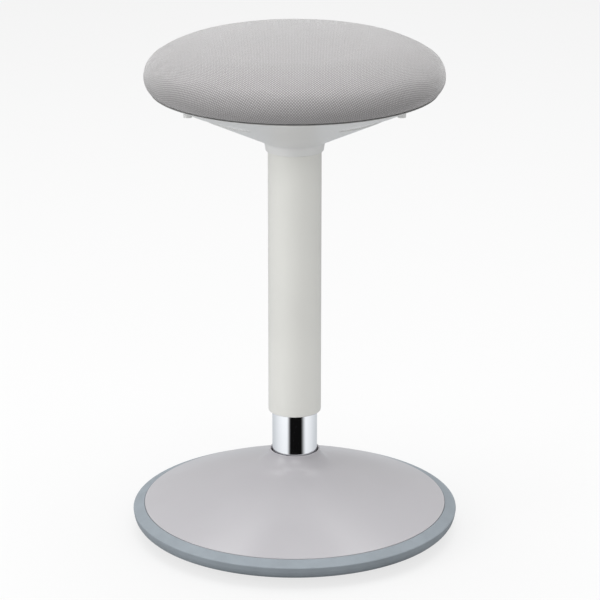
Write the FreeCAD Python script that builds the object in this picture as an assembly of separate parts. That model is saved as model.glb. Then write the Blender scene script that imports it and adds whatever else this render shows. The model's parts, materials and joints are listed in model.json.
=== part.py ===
import FreeCAD, Part
import math
import os

from FreeCAD import Vector

os.makedirs("parts", exist_ok=True)

# All sizes are in millimetres. The floor is z = 0 and the stool's axis is Z.
# The seat is in its lowest position.

# Rocking base
FLAT_R = 75.0            # flat centre of the sole that the stool stands on
SOLE_EDGE_R = 175.6      # where the rocking curve ends
SOLE_EDGE_Z = 12.2
RIM_LOW_R = 180.6
RIM_LOW_Z = 20.1
RIM_R = 181.4            # widest circle of the rubber rim
RIM_Z = 25.8
SOLE_SKIN = 4.0
TREAD_GROOVES = 6
TREAD_FIRST_R = 87.0
TREAD_PITCH = 14.0
TREAD_WIDTH = 3.0
TREAD_DEPTH = 1.2
WALL = 3.0
DOME_R = 168.6
DOME_Z = 31.1
DOME_TOP_R = 50.0        # where the dome turns into the neck's flare
DOME_TOP_Z = 73.2
DOME_SAG = 2.0           # crown of the dome over its straight chord
NECK_R = 28.2
NECK_Z = 93.2
NECK_BORE_R = 26.4
FLARE_POINTS = [(31.4, 84.8), (37.2, 78.8)]
FLARE_INSIDE_POINTS = [(35.6, 76.4), (29.2, 82.8)]
FLARE_INSIDE_Z = 87.6
GASKET_Z0 = 88.0
GASKET_Z1 = 90.4
PAN_R = DOME_R - 2.0     # the pan's upright wall, which the rubber sole hugs
PAN_TOP_Z = DOME_Z - 3.2
PAN_WALL = 2.5
POST_R = 140.0           # circle of the posts that the cover is screwed to
POST_COUNT = 6
POST_TOP_Z = 26.0
POST_BODY_R = 6.5
COVER_SCREW_R = 1.9
RIB_COUNT = 12
RIB_HALF_T = 1.25
WEIGHT_R = 100.0
WEIGHT_BORE_R = 27.0
WEIGHT_TOP_Z = 27.0
WEIGHT_CHAMFER = 4.0
WEIGHT_SCREW_CIRCLE_R = 60.0
WEIGHT_SCREW_R = 2.5
HUB_BOLT_CIRCLE_R = 42.5
HUB_BOLT_R = 4.0
HUB_FLANGE_R = 50.0
HUB_FLANGE_Z = 34.0
HUB_TOP_Z = 72.0

# Gas column
TUBE_R = 25.0            # chromed outer tube of the standard 50 mm column
TUBE_BORE_R = 23.3
TUBE_Z0 = 24.0
TUBE_Z1 = 409.0
TAPER_END_R = 23.9       # the tube's tapered foot in the hub
TAPER_WALL = 1.7
TAPER_Z = 74.0
BUSH_Z = 330.0
BUSH_FLANGE_T = 2.5
RUNNING_GAP = 0.05
ROD_R = 5.0
ROD_FOOT_R = 4.0
ROD_FOOT_Z = 14.0
CLIP_GROOVE_R = 3.2
CLIP_GROOVE_Z0 = 20.0
CLIP_GROOVE_Z1 = 21.5
ROD_THREAD_R = 3.5
FOOT_HOLE_R = 4.3
RACE_T = 2.0
RACE_R = 15.0
PLATE_TOP_Z = 28.0
BALL_R = 2.0
BALL_CIRCLE_R = 10.2
BALL_COUNT = 10
BALL_GAP = 0.02
CYLINDER_R = 14.0
CYLINDER_BORE_R = 12.5
CYLINDER_Z0 = 52.0
CYLINDER_Z1 = 486.0
LIFT = 250.0             # height travel of the seat
ROD_GUIDE_T = 24.0
PISTON_Z = CYLINDER_Z0 + ROD_GUIDE_T + LIFT + 0.5
PISTON_T = 15.5
PISTON_GROOVE_R = 10.6
PISTON_GROOVE_Z0 = PISTON_Z + 5.4
PISTON_GROOVE_Z1 = PISTON_Z + 9.6
VALVE_Z0 = 440.0
VALVE_Z1 = 462.0
SOCKET_Z0 = 452.0
SOCKET_TAPER = 0.0262    # radius lost for each millimetre of height
SOCKET_R = 19.0

# Seat column cover
SLEEVE_R = 29.2
SLEEVE_BORE_R = 27.5
SLEEVE_Z0 = 139.5

# Seat structure
BRACKET_Z = 485.2        # underside of the bracket's floor
SHEET = 3.0
BEND_OUT_R = 4.0
BEND_IN_R = 1.0
BEND_CLEAR = 1.0 - math.sqrt(0.5)
CHANNEL_HALF_W = 22.0
FLANGE_HALF_W = 64.0
BRACKET_HALF_L = 62.0
BOLT_X = 46.0
BOLT_Y = 46.0
BOARD_Z = 507.7
BOARD_T = 10.0
BOARD_R = 150.0

# Seat housing
HOUSING_BORE_R = 29.4
COLLAR_R = 31.7
COLLAR_TAPER = 0.9       # how much wider the collar is where it meets the cone
COLLAR_Z0 = 438.4
CONE_R0 = 36.0
CONE_Z0 = 449.9
CONE_SLOPE = 0.468
HOUSING_R = 155.3
HOUSING_SKIN = 3.1       # measured upright
HOUSING_TOP_Z = 505.7
SCREW_X = 112.0
SCREW_Y = 85.0
SCREW_BOSS_Z = 496.6
SCREW_SEAT_Z = 500.6
SCREW_BOSS_R = 4.5
SCREW_R = 1.75
SCREW_HEAD_R = 3.0
SCREW_HOLE_R = 3.4
HEAD_HOLE_R = 4.6

# Cushion
CUSHION_R = 162.8        # widest circle of the cushion
CUSHION_Z = 520.4        # its height
CUSHION_CROWN = 46.9     # crown above that circle
SHOULDER_R = 25.8        # roundness of the cushion's shoulder
CROWN_TURN = 8.7         # degrees over which the top's flat arc runs
SHOULDER_TURN = 30.6     # degrees where the shoulder starts
SIDE_ROUND_R = 18.9
FOOT_ROUND_R = 6.0
CUSHION_FOOT_Z = 506.5
FABRIC = 1.2
WRAP_R = 125.0           # how far the fabric reaches in under the board
STAPLE_R = 135.0
STAPLE_COUNT = 12
STAPLE_WIRE = 0.6
STAPLE_W = 8.0

# Release paddles
PADDLE_R0 = 105.0
PADDLE_R1 = 125.0
PADDLE_HALF_ANGLE = 65.0
PADDLE_GAP = 1.2
PADDLE_T = 4.0
PADDLE_INSET = 1.2       # how far the paddle lies inside the cone's surface
POCKET_WALL = 2.3
POCKET_DEPTH = 8.5
ARM_Z = 493.9
ARM_T = 4.5
ARM_HALF_W = 8.0
FINGER_TIP_X = 4.5
PIVOT_X = 45.0
PIVOT_Z = 496.2
PIVOT_R = 2.45
PIVOT_BOSS_R = 5.5
BUTTON_R = 3.0
BUTTON_CAP_R = 6.5
BUTTON_CAP_Z = 490.4
BUTTON_TOP_Z = ARM_Z - 0.1
LINK_PIN_R = 1.1
LINK_SLOT_HALF = 2.0


class Outline:
    """A closed outline in the X-Z plane, drawn step by step, then turned about Z or pushed along Y."""

    def __init__(self, x, z):
        self.first = Vector(x, 0, z)
        self.at = self.first
        self.edges = []

    def line(self, x, z):
        to = Vector(x, 0, z)
        self.edges.append(Part.makeLine(self.at, to))
        self.at = to
        return self

    def arc(self, middle, end):
        to = Vector(end[0], 0, end[1])
        via = Vector(middle[0], 0, middle[1])
        self.edges.append(Part.Arc(self.at, via, to).toShape())
        self.at = to
        return self

    def round(self, centre, radius, start, end):
        """An arc about a centre, its angles counted in radians from +Z towards +X."""
        middle = (start + end) / 2
        via = (centre[0] + radius * math.sin(middle), centre[1] + radius * math.cos(middle))
        return self.arc(via, (centre[0] + radius * math.sin(end), centre[1] + radius * math.cos(end)))

    def curve(self, points, start_way, end_way):
        places = [self.at] + [Vector(x, 0, z) for x, z in points]
        spline = Part.BSplineCurve()
        spline.interpolate(
            Points=places,
            InitialTangent=Vector(start_way[0], 0, start_way[1]),
            FinalTangent=Vector(end_way[0], 0, end_way[1]),
        )
        self.edges.append(spline.toShape())
        self.at = places[-1]
        return self

    def face(self):
        if self.at.distanceToPoint(self.first) > 1e-6:
            self.line(self.first.x, self.first.z)
        return Part.Face(Part.Wire(self.edges))

    def turned(self):
        return self.face().revolve(Vector(0, 0, 0), Vector(0, 0, 1), 360)

    def pushed(self, y0, y1):
        face = self.face()
        face.translate(Vector(0, y0, 0))
        return face.extrude(Vector(0, y1 - y0, 0))


def rod(radius, z0, z1, x=0.0, y=0.0):
    return Part.makeCylinder(radius, z1 - z0, Vector(x, y, z0), Vector(0, 0, 1))


def ring(r_in, r_out, z0, z1, x=0.0, y=0.0):
    return rod(r_out, z0, z1, x, y).cut(rod(r_in, z0 - 1, z1 + 1, x, y))


def block(x0, x1, y0, y1, z0, z1):
    return Part.makeBox(x1 - x0, y1 - y0, z1 - z0, Vector(x0, y0, z0))


def turn(shape, degrees):
    copy = shape.copy()
    copy.rotate(Vector(0, 0, 0), Vector(0, 0, 1), degrees)
    return copy


def around(shape, count, first=0.0):
    return [turn(shape, first + 360.0 * i / count) for i in range(count)]


def mirrored(shape):
    return shape.mirror(Vector(0, 0, 0), Vector(1, 0, 0))


def hexagon(across_flats, z0, z1, x=0.0, y=0.0):
    radius = across_flats / math.sqrt(3)
    angles = [math.radians(60 * i) for i in range(7)]
    corners = [Vector(x + radius * math.cos(a), y + radius * math.sin(a), z0) for a in angles]
    return Part.Face(Part.makePolygon(corners)).extrude(Vector(0, 0, z1 - z0))


def cut_all(shape, tools):
    return shape.cut(Part.makeCompound(tools))


def fuse_all(shape, others):
    return shape.multiFuse(others).removeSplitter()


def save(name, *solids):
    shape = solids[0] if len(solids) == 1 else Part.makeCompound(list(solids))
    shape.exportStep("parts/" + name + ".step")
    print(f"{name}: {len(shape.Solids)} solid(s), {shape.Volume / 1000:.2f} cm3, valid {shape.isValid()}")


# Curves that several pieces share
ROCK_RADIUS = ((SOLE_EDGE_R - FLAT_R) ** 2 + SOLE_EDGE_Z ** 2) / (2 * SOLE_EDGE_Z)


def rock_z(r, inside=0.0):
    """Height of the rocking curve at radius r, or of the curve that lies inside it by a given depth."""
    return ROCK_RADIUS - math.sqrt((ROCK_RADIUS - inside) ** 2 - max(r - FLAT_R, 0.0) ** 2)


def rock_arc(outline, r_from, r_to, inside):
    middle = (r_from + r_to) / 2
    return outline.arc((middle, rock_z(middle, inside)), (r_to, rock_z(r_to, inside)))


DOME_CHORD = math.hypot(DOME_R - DOME_TOP_R, DOME_TOP_Z - DOME_Z)
DOME_RADIUS = DOME_CHORD ** 2 / (8 * DOME_SAG) + DOME_SAG / 2
DOME_MID_R = (DOME_R + DOME_TOP_R) / 2
DOME_CENTRE_R = DOME_MID_R - (DOME_TOP_Z - DOME_Z) / DOME_CHORD * (DOME_RADIUS - DOME_SAG)
DOME_CENTRE_Z = (DOME_Z + DOME_TOP_Z) / 2 - (DOME_R - DOME_TOP_R) / DOME_CHORD * (DOME_RADIUS - DOME_SAG)


def dome_z(r, inside=0.0):
    return DOME_CENTRE_Z + math.sqrt((DOME_RADIUS - inside) ** 2 - (r - DOME_CENTRE_R) ** 2)


def dome_arc(outline, r_from, r_to, inside):
    middle = (r_from + r_to) / 2
    return outline.arc((middle, dome_z(middle, inside)), (r_to, dome_z(r_to, inside)))


def taper_r(z):
    return TAPER_END_R + (z - TUBE_Z0) * (TUBE_R - TAPER_END_R) / (TAPER_Z - TUBE_Z0)


def socket_r(z):
    return CYLINDER_R - (z - SOCKET_Z0) * SOCKET_TAPER


def cone_z(r):
    return CONE_Z0 + (r - CONE_R0) * CONE_SLOPE


def cone_band(low, high, r0, r1):
    """The layer between two depths inside the housing's cone."""
    o = Outline(r0, cone_z(r0) + low).line(r1, cone_z(r1) + low)
    return o.line(r1, cone_z(r1) + high).line(r0, cone_z(r0) + high).turned()


def crescent(r0, r1, half_angle, corner):
    """An upright prism on a curved slot's plan, centred on +X, with rounded ends."""
    a = math.radians(half_angle)
    z = cone_z(r0) - 20.0

    def at(r, angle):
        return Vector(r * math.cos(angle), r * math.sin(angle), z)

    edges = [
        Part.Arc(at(r0, -a), at(r0, 0), at(r0, a)).toShape(),
        Part.makeLine(at(r0, a), at(r1, a)),
        Part.Arc(at(r1, a), at(r1, 0), at(r1, -a)).toShape(),
        Part.makeLine(at(r1, -a), at(r0, -a)),
    ]
    prism = Part.Face(Part.Wire(edges)).extrude(Vector(0, 0, 60))
    uprights = [e for e in prism.Edges if abs(e.Length - 60) < 1e-6 and len(e.Vertexes) == 2]
    return prism.makeFillet(corner, uprights)


# Sole: one rubber boot with the flat centre, the rocking curve and the rim that shows
def rocker_sole():
    o = rock_arc(Outline(0, 0).line(FLAT_R, 0), FLAT_R, SOLE_EDGE_R, 0.0)
    o.arc((RIM_LOW_R - 1.9, SOLE_EDGE_Z + 3.2), (RIM_LOW_R, RIM_LOW_Z))
    o.line(RIM_R, RIM_Z - 1.2).arc((RIM_R - 0.25, RIM_Z - 0.3), (RIM_R - 1.1, RIM_Z + 0.3))
    o.line(DOME_R + 0.9, DOME_Z - 0.4).line(DOME_R + 0.3, DOME_Z - 0.8).line(DOME_R + 0.3, PAN_TOP_Z)
    o.line(PAN_R, PAN_TOP_Z).line(PAN_R, rock_z(PAN_R, SOLE_SKIN))
    rock_arc(o, PAN_R, FLAT_R, SOLE_SKIN).line(0, SOLE_SKIN)
    grooves = []
    for i in range(TREAD_GROOVES):
        r = TREAD_FIRST_R + TREAD_PITCH * i
        grooves.append(ring(r - TREAD_WIDTH / 2, r + TREAD_WIDTH / 2, -5, rock_z(r) + TREAD_DEPTH))
    return cut_all(o.turned(), grooves)


# Pan: the ribbed structural shell inside the sole
def sole_pan():
    floor_r = PAN_R - PAN_WALL
    inside = SOLE_SKIN + WALL
    o = rock_arc(Outline(0, SOLE_SKIN).line(FLAT_R, SOLE_SKIN), FLAT_R, PAN_R, SOLE_SKIN)
    o.line(PAN_R, PAN_TOP_Z).line(floor_r, PAN_TOP_Z).line(floor_r, rock_z(floor_r, inside))
    shell = rock_arc(o, floor_r, FLAT_R, inside).line(0, inside).turned()
    room = rock_arc(Outline(0, inside - 1).line(FLAT_R, inside - 1), FLAT_R, floor_r + 1, inside - 1)
    room = room.line(floor_r + 1, PAN_TOP_Z).line(0, PAN_TOP_Z).turned()
    inner = around(block(WEIGHT_R + 1.5, floor_r + 0.5, -RIB_HALF_T, RIB_HALF_T, 0, 22), RIB_COUNT, 15.0)
    inner += around(rod(POST_BODY_R, 0, POST_TOP_Z, POST_R), POST_COUNT)
    inner.append(ring(WEIGHT_R + 0.3, WEIGHT_R + 2.8, 0, 20))
    pan = fuse_all(shell, [piece.common(room) for piece in inner])
    holes = around(rod(HEAD_HOLE_R, 0, 20, POST_R), POST_COUNT)
    holes += around(rod(COVER_SCREW_R + 0.3, 0, 40, POST_R), POST_COUNT)
    sink = Part.makeCone(5.2, 2.7, 2.5, Vector(WEIGHT_SCREW_CIRCLE_R, 0, SOLE_SKIN), Vector(0, 0, 1))
    holes += around(sink.fuse(rod(WEIGHT_SCREW_R + 0.2, SOLE_SKIN, 10, WEIGHT_SCREW_CIRCLE_R)), 6, 30.0)
    return cut_all(pan, holes)


def counterweight():
    inside = SOLE_SKIN + WALL
    o = rock_arc(Outline(WEIGHT_BORE_R, inside).line(FLAT_R, inside), FLAT_R, WEIGHT_R, inside)
    o.line(WEIGHT_R, WEIGHT_TOP_Z - WEIGHT_CHAMFER).line(WEIGHT_R - WEIGHT_CHAMFER, WEIGHT_TOP_Z)
    o.line(WEIGHT_BORE_R, WEIGHT_TOP_Z)
    holes = around(rod(HUB_BOLT_R, 9.0, 30, HUB_BOLT_CIRCLE_R), 4, 45.0)
    holes += around(rod(WEIGHT_SCREW_R, 0, 18, WEIGHT_SCREW_CIRCLE_R), 6, 30.0)
    return cut_all(o.turned(), holes)


def weight_screw():
    foot = Vector(WEIGHT_SCREW_CIRCLE_R, 0, SOLE_SKIN + 0.05)
    head = Part.makeCone(2 * WEIGHT_SCREW_R, WEIGHT_SCREW_R, WEIGHT_SCREW_R, foot, Vector(0, 0, 1))
    socket = hexagon(3.0, 0, SOLE_SKIN + 1.8, WEIGHT_SCREW_CIRCLE_R)
    return head.fuse(rod(WEIGHT_SCREW_R, SOLE_SKIN + 2.0, 17.5, WEIGHT_SCREW_CIRCLE_R)).cut(socket)


def column_hub():
    o = Outline(taper_r(WEIGHT_TOP_Z), WEIGHT_TOP_Z).line(HUB_FLANGE_R, WEIGHT_TOP_Z)
    o.line(HUB_FLANGE_R, HUB_FLANGE_Z - 1).line(HUB_FLANGE_R - 1, HUB_FLANGE_Z)
    o.line(34.5, HUB_FLANGE_Z).arc((33.3, HUB_FLANGE_Z + 0.5), (32.8, HUB_FLANGE_Z + 1.7))
    o.line(30.0, HUB_TOP_Z).line(taper_r(HUB_TOP_Z), HUB_TOP_Z)
    return cut_all(o.turned(), around(rod(HUB_BOLT_R + 0.25, 20, 40, HUB_BOLT_CIRCLE_R), 4, 45.0))


def hub_bolt():
    head = hexagon(13.0, HUB_FLANGE_Z, HUB_FLANGE_Z + 5.3, HUB_BOLT_CIRCLE_R)
    return head.fuse(rod(HUB_BOLT_R, 9.5, 35, HUB_BOLT_CIRCLE_R))


# Cover: the dome with its flared neck, with ribs and screw bosses beneath it
def base_cover():
    edge_z = DOME_Z - 3.15
    dome_way = (1.0, -(DOME_TOP_R - DOME_CENTRE_R) / (DOME_TOP_Z - DOME_CENTRE_Z))
    neck_mid_r = (NECK_R + NECK_BORE_R) / 2
    o = Outline(NECK_BORE_R, NECK_Z - 0.8).arc((neck_mid_r, NECK_Z), (NECK_R, NECK_Z - 1.0))
    o.curve(FLARE_POINTS + [(DOME_TOP_R, DOME_TOP_Z)], (0.15, -1.0), dome_way)
    dome_arc(o, DOME_TOP_R, DOME_R, 0.0).line(DOME_R, edge_z).line(DOME_R - 4.2, edge_z)
    o.line(DOME_R - 5.5, dome_z(DOME_R - 5.5, WALL))
    dome_arc(o, DOME_R - 5.5, DOME_TOP_R - 0.8, WALL)
    inside = FLARE_INSIDE_POINTS + [(NECK_BORE_R, FLARE_INSIDE_Z)]
    o.curve(inside, (-dome_way[0], -dome_way[1]), (-0.45, 1.0))
    shell = o.turned()
    under = Outline(0, 0).line(DOME_R - 1, 0).line(DOME_R - 1, dome_z(DOME_R - 1, 1.0))
    under = dome_arc(under, DOME_R - 1, DOME_TOP_R, 1.0).line(0, DOME_TOP_Z).turned()
    rib = Outline(62, dome_z(62, 10)).arc((110, dome_z(110, 10)), (158, dome_z(158, 8)))
    rib.line(158, dome_z(158, 1)).arc((110, dome_z(110, 1)), (62, dome_z(62, 1)))
    rib = rib.pushed(-RIB_HALF_T, RIB_HALF_T)
    bosses = around(rod(5.5, POST_TOP_Z + 0.05, 60, POST_R).common(under), POST_COUNT)
    cover = fuse_all(shell, around(rib, RIB_COUNT, 15.0) + bosses)
    return cut_all(cover, around(rod(COVER_SCREW_R, 20, 39.5, POST_R), POST_COUNT))


def cover_screw():
    head = rod(4.0, 17.0, 20.0, POST_R)
    return head.fuse(rod(COVER_SCREW_R, 20.0, 38.5, POST_R)).cut(hexagon(2.5, 16, 18.8, POST_R))


# Gas column, fixed part
def outer_tube():
    o = Outline(TAPER_END_R - TAPER_WALL, TUBE_Z0).line(TAPER_END_R, TUBE_Z0).line(TUBE_R, TAPER_Z)
    o.line(TUBE_R, TUBE_Z1 - 0.6).line(TUBE_R - 0.6, TUBE_Z1).line(TUBE_BORE_R, TUBE_Z1)
    return o.line(TUBE_BORE_R, TAPER_Z).turned()


def tube_end_plate():
    top_r = taper_r(PLATE_TOP_Z) - TAPER_WALL
    o = Outline(FOOT_HOLE_R, TUBE_Z0).line(taper_r(TUBE_Z0) - TAPER_WALL, TUBE_Z0).line(top_r, PLATE_TOP_Z)
    return o.line(FOOT_HOLE_R, PLATE_TOP_Z).turned()


def guide_bush():
    bore = CYLINDER_R + RUNNING_GAP
    o = Outline(bore + 1, BUSH_Z).line(TUBE_BORE_R - 1, BUSH_Z).line(TUBE_BORE_R, BUSH_Z + 1)
    o.line(TUBE_BORE_R, TUBE_Z1).line(TUBE_R - 0.5, TUBE_Z1).line(TUBE_R - 0.5, TUBE_Z1 + BUSH_FLANGE_T)
    o.line(bore + 1, TUBE_Z1 + BUSH_FLANGE_T).line(bore, TUBE_Z1 + BUSH_FLANGE_T - 1).line(bore, BUSH_Z + 1)
    slots = around(block(19.0, TUBE_R, -1.5, 1.5, BUSH_Z - 1, TUBE_Z1 - 12), 6)
    return cut_all(o.turned(), slots)


# Thrust bearing at the rod's foot
RACE1_Z = PLATE_TOP_Z + RACE_T + 2 * (BALL_R + BALL_GAP)
SHOULDER_Z = RACE1_Z + RACE_T
BALL_Z = PLATE_TOP_Z + RACE_T + BALL_R + BALL_GAP


def bearing_balls():
    ball = Part.makeSphere(BALL_R, Vector(BALL_CIRCLE_R, 0, BALL_Z))
    return around(ball, BALL_COUNT)


def ball_cage():
    cage = ring(6.4, 14.2, BALL_Z - 0.7, BALL_Z + 0.7)
    return cut_all(cage, around(rod(BALL_R + 0.1, 0, 60, BALL_CIRCLE_R), BALL_COUNT))


# Gas column, rod and piston
def piston_rod():
    top = PISTON_Z + PISTON_T
    o = Outline(0, ROD_FOOT_Z).line(ROD_FOOT_R - 0.6, ROD_FOOT_Z).line(ROD_FOOT_R, ROD_FOOT_Z + 0.6)
    o.line(ROD_FOOT_R, CLIP_GROOVE_Z0).line(CLIP_GROOVE_R, CLIP_GROOVE_Z0)
    o.line(CLIP_GROOVE_R, CLIP_GROOVE_Z1).line(ROD_FOOT_R, CLIP_GROOVE_Z1)
    o.line(ROD_FOOT_R, SHOULDER_Z).line(ROD_R, SHOULDER_Z)
    o.line(ROD_R, PISTON_Z).line(ROD_THREAD_R, PISTON_Z).line(ROD_THREAD_R, top + 5.5)
    return o.line(0, top + 5.5).turned()


def piston():
    r = CYLINDER_BORE_R - 0.3
    o = Outline(ROD_THREAD_R, PISTON_Z).line(r, PISTON_Z).line(r, PISTON_GROOVE_Z0)
    o.line(PISTON_GROOVE_R, PISTON_GROOVE_Z0).line(PISTON_GROOVE_R, PISTON_GROOVE_Z1)
    o.line(r, PISTON_GROOVE_Z1)
    return o.line(r, PISTON_Z + PISTON_T).line(ROD_THREAD_R, PISTON_Z + PISTON_T).turned()


def piston_seal():
    outer = CYLINDER_BORE_R - RUNNING_GAP
    return ring(PISTON_GROOVE_R, outer, PISTON_GROOVE_Z0 + 0.1, PISTON_GROOVE_Z1 - 0.1)


def piston_nut():
    z = PISTON_Z + PISTON_T
    return hexagon(10.0, z, z + 4).cut(rod(ROD_THREAD_R, z - 1, z + 5))


def rod_clip():
    """An E-clip in the rod's groove, open to the side."""
    disc = ring(CLIP_GROOVE_R, 7.5, CLIP_GROOVE_Z0 + RUNNING_GAP, CLIP_GROOVE_Z1 - RUNNING_GAP)
    return disc.cut(block(-10, 0, -2.6, 2.6, CLIP_GROOVE_Z0 - 1, CLIP_GROOVE_Z1 + 1))


def gas_cylinder():
    o = Outline(CYLINDER_BORE_R, CYLINDER_Z0).line(CYLINDER_R, CYLINDER_Z0).line(CYLINDER_R, SOCKET_Z0)
    o.line(socket_r(CYLINDER_Z1), CYLINDER_Z1).line(BUTTON_R + RUNNING_GAP, CYLINDER_Z1)
    return o.line(BUTTON_R + RUNNING_GAP, VALVE_Z1).line(CYLINDER_BORE_R, VALVE_Z1).turned()


def valve_button():
    cap = Outline(0, BUTTON_CAP_Z).line(BUTTON_CAP_R, BUTTON_CAP_Z).line(BUTTON_CAP_R, BUTTON_TOP_Z - 0.8)
    cap = cap.line(BUTTON_CAP_R - 0.8, BUTTON_TOP_Z).line(0, BUTTON_TOP_Z).turned()
    return cap.fuse(rod(BUTTON_R, VALVE_Z0 + 7, BUTTON_CAP_Z + 1)).removeSplitter()


def valve_body():
    block_out = rod(CYLINDER_BORE_R, VALVE_Z0, VALVE_Z1)
    return block_out.cut(rod(BUTTON_R + RUNNING_GAP, VALVE_Z0 + 1.5, VALVE_Z1 + 1))


# Sleeve that hangs from the seat and covers the chromed tube
def sleeve():
    top_in = SOCKET_R + 0.6
    o = Outline(SLEEVE_BORE_R, SLEEVE_Z0).line(SLEEVE_R - 1.3, SLEEVE_Z0)
    o.arc((SLEEVE_R - 0.38, SLEEVE_Z0 + 0.38), (SLEEVE_R, SLEEVE_Z0 + 1.3)).line(SLEEVE_R, BRACKET_Z)
    under = BRACKET_Z - 2.5
    return o.line(top_in, BRACKET_Z).line(top_in, under).line(SLEEVE_BORE_R, under).turned()


def sleeve_glide():
    bore = TUBE_R + 0.35
    o = Outline(bore + 0.8, SLEEVE_Z0 + 2).line(SLEEVE_BORE_R, SLEEVE_Z0 + 2)
    o.line(SLEEVE_BORE_R, SLEEVE_Z0 + 16).line(bore, SLEEVE_Z0 + 16).line(bore, SLEEVE_Z0 + 3)
    return cut_all(o.turned(), around(block(24, 30, -1, 1, SLEEVE_Z0 + 8, SLEEVE_Z0 + 20), 6))


def taper_socket():
    top = BRACKET_Z + SHEET + 2.0
    o = Outline(socket_r(SOCKET_Z0), SOCKET_Z0)
    o.line(SOCKET_R - 1.5, SOCKET_Z0).line(SOCKET_R, SOCKET_Z0 + 2)
    o.line(SOCKET_R, BRACKET_Z + SHEET).line(SOCKET_R + 2, BRACKET_Z + SHEET).line(SOCKET_R + 0.6, top)
    return o.line(socket_r(top), top).turned()


# Bracket: a pressed channel with flanges, which carries the column socket and the paddles' pins
def seat_bracket():
    z0 = BRACKET_Z
    z1 = BRACKET_Z + SHEET
    t0 = BOARD_Z - SHEET
    t1 = BOARD_Z
    w = CHANNEL_HALF_W
    n = w - SHEET
    r = BEND_OUT_R
    q = BEND_IN_R
    k = BEND_CLEAR * r
    j = BEND_CLEAR * q
    o = Outline(-FLANGE_HALF_W, t0).line(-w - q, t0).arc((-w - j, t0 - j), (-w, t0 - q))
    o.line(-w, z0 + r).arc((-w + k, z0 + k), (-w + r, z0)).line(w - r, z0)
    o.arc((w - k, z0 + k), (w, z0 + r)).line(w, t0 - q).arc((w + j, t0 - j), (w + q, t0))
    o.line(FLANGE_HALF_W, t0).line(FLANGE_HALF_W, t1).line(n + r, t1)
    o.arc((n + k, t1 - k), (n, t1 - r)).line(n, z1 + q).arc((n - j, z1 + j), (n - q, z1))
    o.line(-n + q, z1).arc((-n + j, z1 + j), (-n, z1 + q)).line(-n, t1 - r)
    o.arc((-n - k, t1 - k), (-n - r, t1)).line(-FLANGE_HALF_W, t1)
    channel = turn(o.pushed(-BRACKET_HALF_L, BRACKET_HALF_L), 90)
    plan = block(-BRACKET_HALF_L, BRACKET_HALF_L, -FLANGE_HALF_W, FLANGE_HALF_W, z0 - 1, t1 + 1)
    uprights = [e for e in plan.Edges if abs(e.Length - (t1 + 2 - z0)) < 1e-6]
    channel = channel.common(plan.makeFillet(12.0, uprights))
    holes = [rod(SOCKET_R, z0 - 5, z1 + 5)]
    holes += at_corners(BOLT_X, BOLT_Y, lambda x, y: rod(3.3, t0 - 2, t1 + 2, x, y))
    for side in (-1, 1):
        holes.append(Part.makeCylinder(PIVOT_R, 60, Vector(side * PIVOT_X, -30, PIVOT_Z), Vector(0, 1, 0)))
    return cut_all(channel, holes)


def at_corners(x, y, make):
    return [make(sx * x, sy * y) for sx in (-1, 1) for sy in (-1, 1)]


def at_bolts(make):
    return at_corners(BOLT_X, BOLT_Y, make)


def at_housing_screws(make):
    return at_corners(SCREW_X, SCREW_Y, make)


def bracket_bolt(x, y):
    under = BOARD_Z - SHEET
    return hexagon(10.0, under - 4.0, under, x, y).fuse(rod(3.0, under - 1, BOARD_Z + BOARD_T, x, y))


def tee_nut(x, y):
    top = BOARD_Z + BOARD_T
    barrel = ring(3.0, 4.0, top - 8.0, top + 0.5, x, y)
    return ring(3.0, 9.0, top, top + 1.2, x, y).fuse(barrel).removeSplitter()


# Housing: collar, cone and rim, with a pocket for each paddle and four screw bosses
def seat_housing():
    r_in = (HOUSING_TOP_Z - HOUSING_SKIN - CONE_Z0) / CONE_SLOPE + CONE_R0
    edge_r = HOUSING_R - 1.8
    o = Outline(HOUSING_BORE_R, COLLAR_Z0).line(COLLAR_R - 1.0, COLLAR_Z0)
    o.arc((COLLAR_R - 0.25, COLLAR_Z0 + 0.35), (COLLAR_R, COLLAR_Z0 + 1.3))
    o.line(COLLAR_R + COLLAR_TAPER, CONE_Z0 - 4.6)
    o.arc((COLLAR_R + 1.8, CONE_Z0 - 1.7), (CONE_R0, CONE_Z0)).line(edge_r, cone_z(edge_r))
    o.arc((HOUSING_R - 0.5, cone_z(edge_r) + 0.3), (HOUSING_R, HOUSING_TOP_Z)).line(r_in, HOUSING_TOP_Z)
    o.line(CONE_R0, CONE_Z0 + HOUSING_SKIN).arc((31.0, CONE_Z0 + 1.6), (HOUSING_BORE_R, CONE_Z0 - 1.5))
    shell = o.turned()
    opening = crescent(PADDLE_R0, PADDLE_R1, PADDLE_HALF_ANGLE, 7.0)
    spread = math.degrees(POCKET_WALL / PADDLE_R1)
    wall = crescent(PADDLE_R0 - POCKET_WALL, PADDLE_R1 + POCKET_WALL, PADDLE_HALF_ANGLE + spread, 9.0)
    wall = wall.common(cone_band(HOUSING_SKIN - 1, POCKET_DEPTH, 90, 140))
    rib = Outline(CONE_R0 + 2, cone_z(CONE_R0 + 2) + 2).line(98, cone_z(98) + 2).line(98, cone_z(98) + 6)
    rib = rib.line(CONE_R0 + 2, cone_z(CONE_R0 + 2) + 8).pushed(-1.0, 1.0)
    bosses = at_housing_screws(lambda x, y: rod(SCREW_BOSS_R, SCREW_BOSS_Z, CUSHION_FOOT_Z - 0.1, x, y))
    housing = fuse_all(shell, [wall, mirrored(wall)] + around(rib, 8, 22.5) + bosses)
    holes = [opening, mirrored(opening)]
    holes += at_housing_screws(lambda x, y: rod(SCREW_HOLE_R, 480, SCREW_SEAT_Z, x, y))
    holes += at_housing_screws(lambda x, y: rod(SCREW_R + 0.25, 480, 520, x, y))
    return cut_all(housing, holes)


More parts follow.
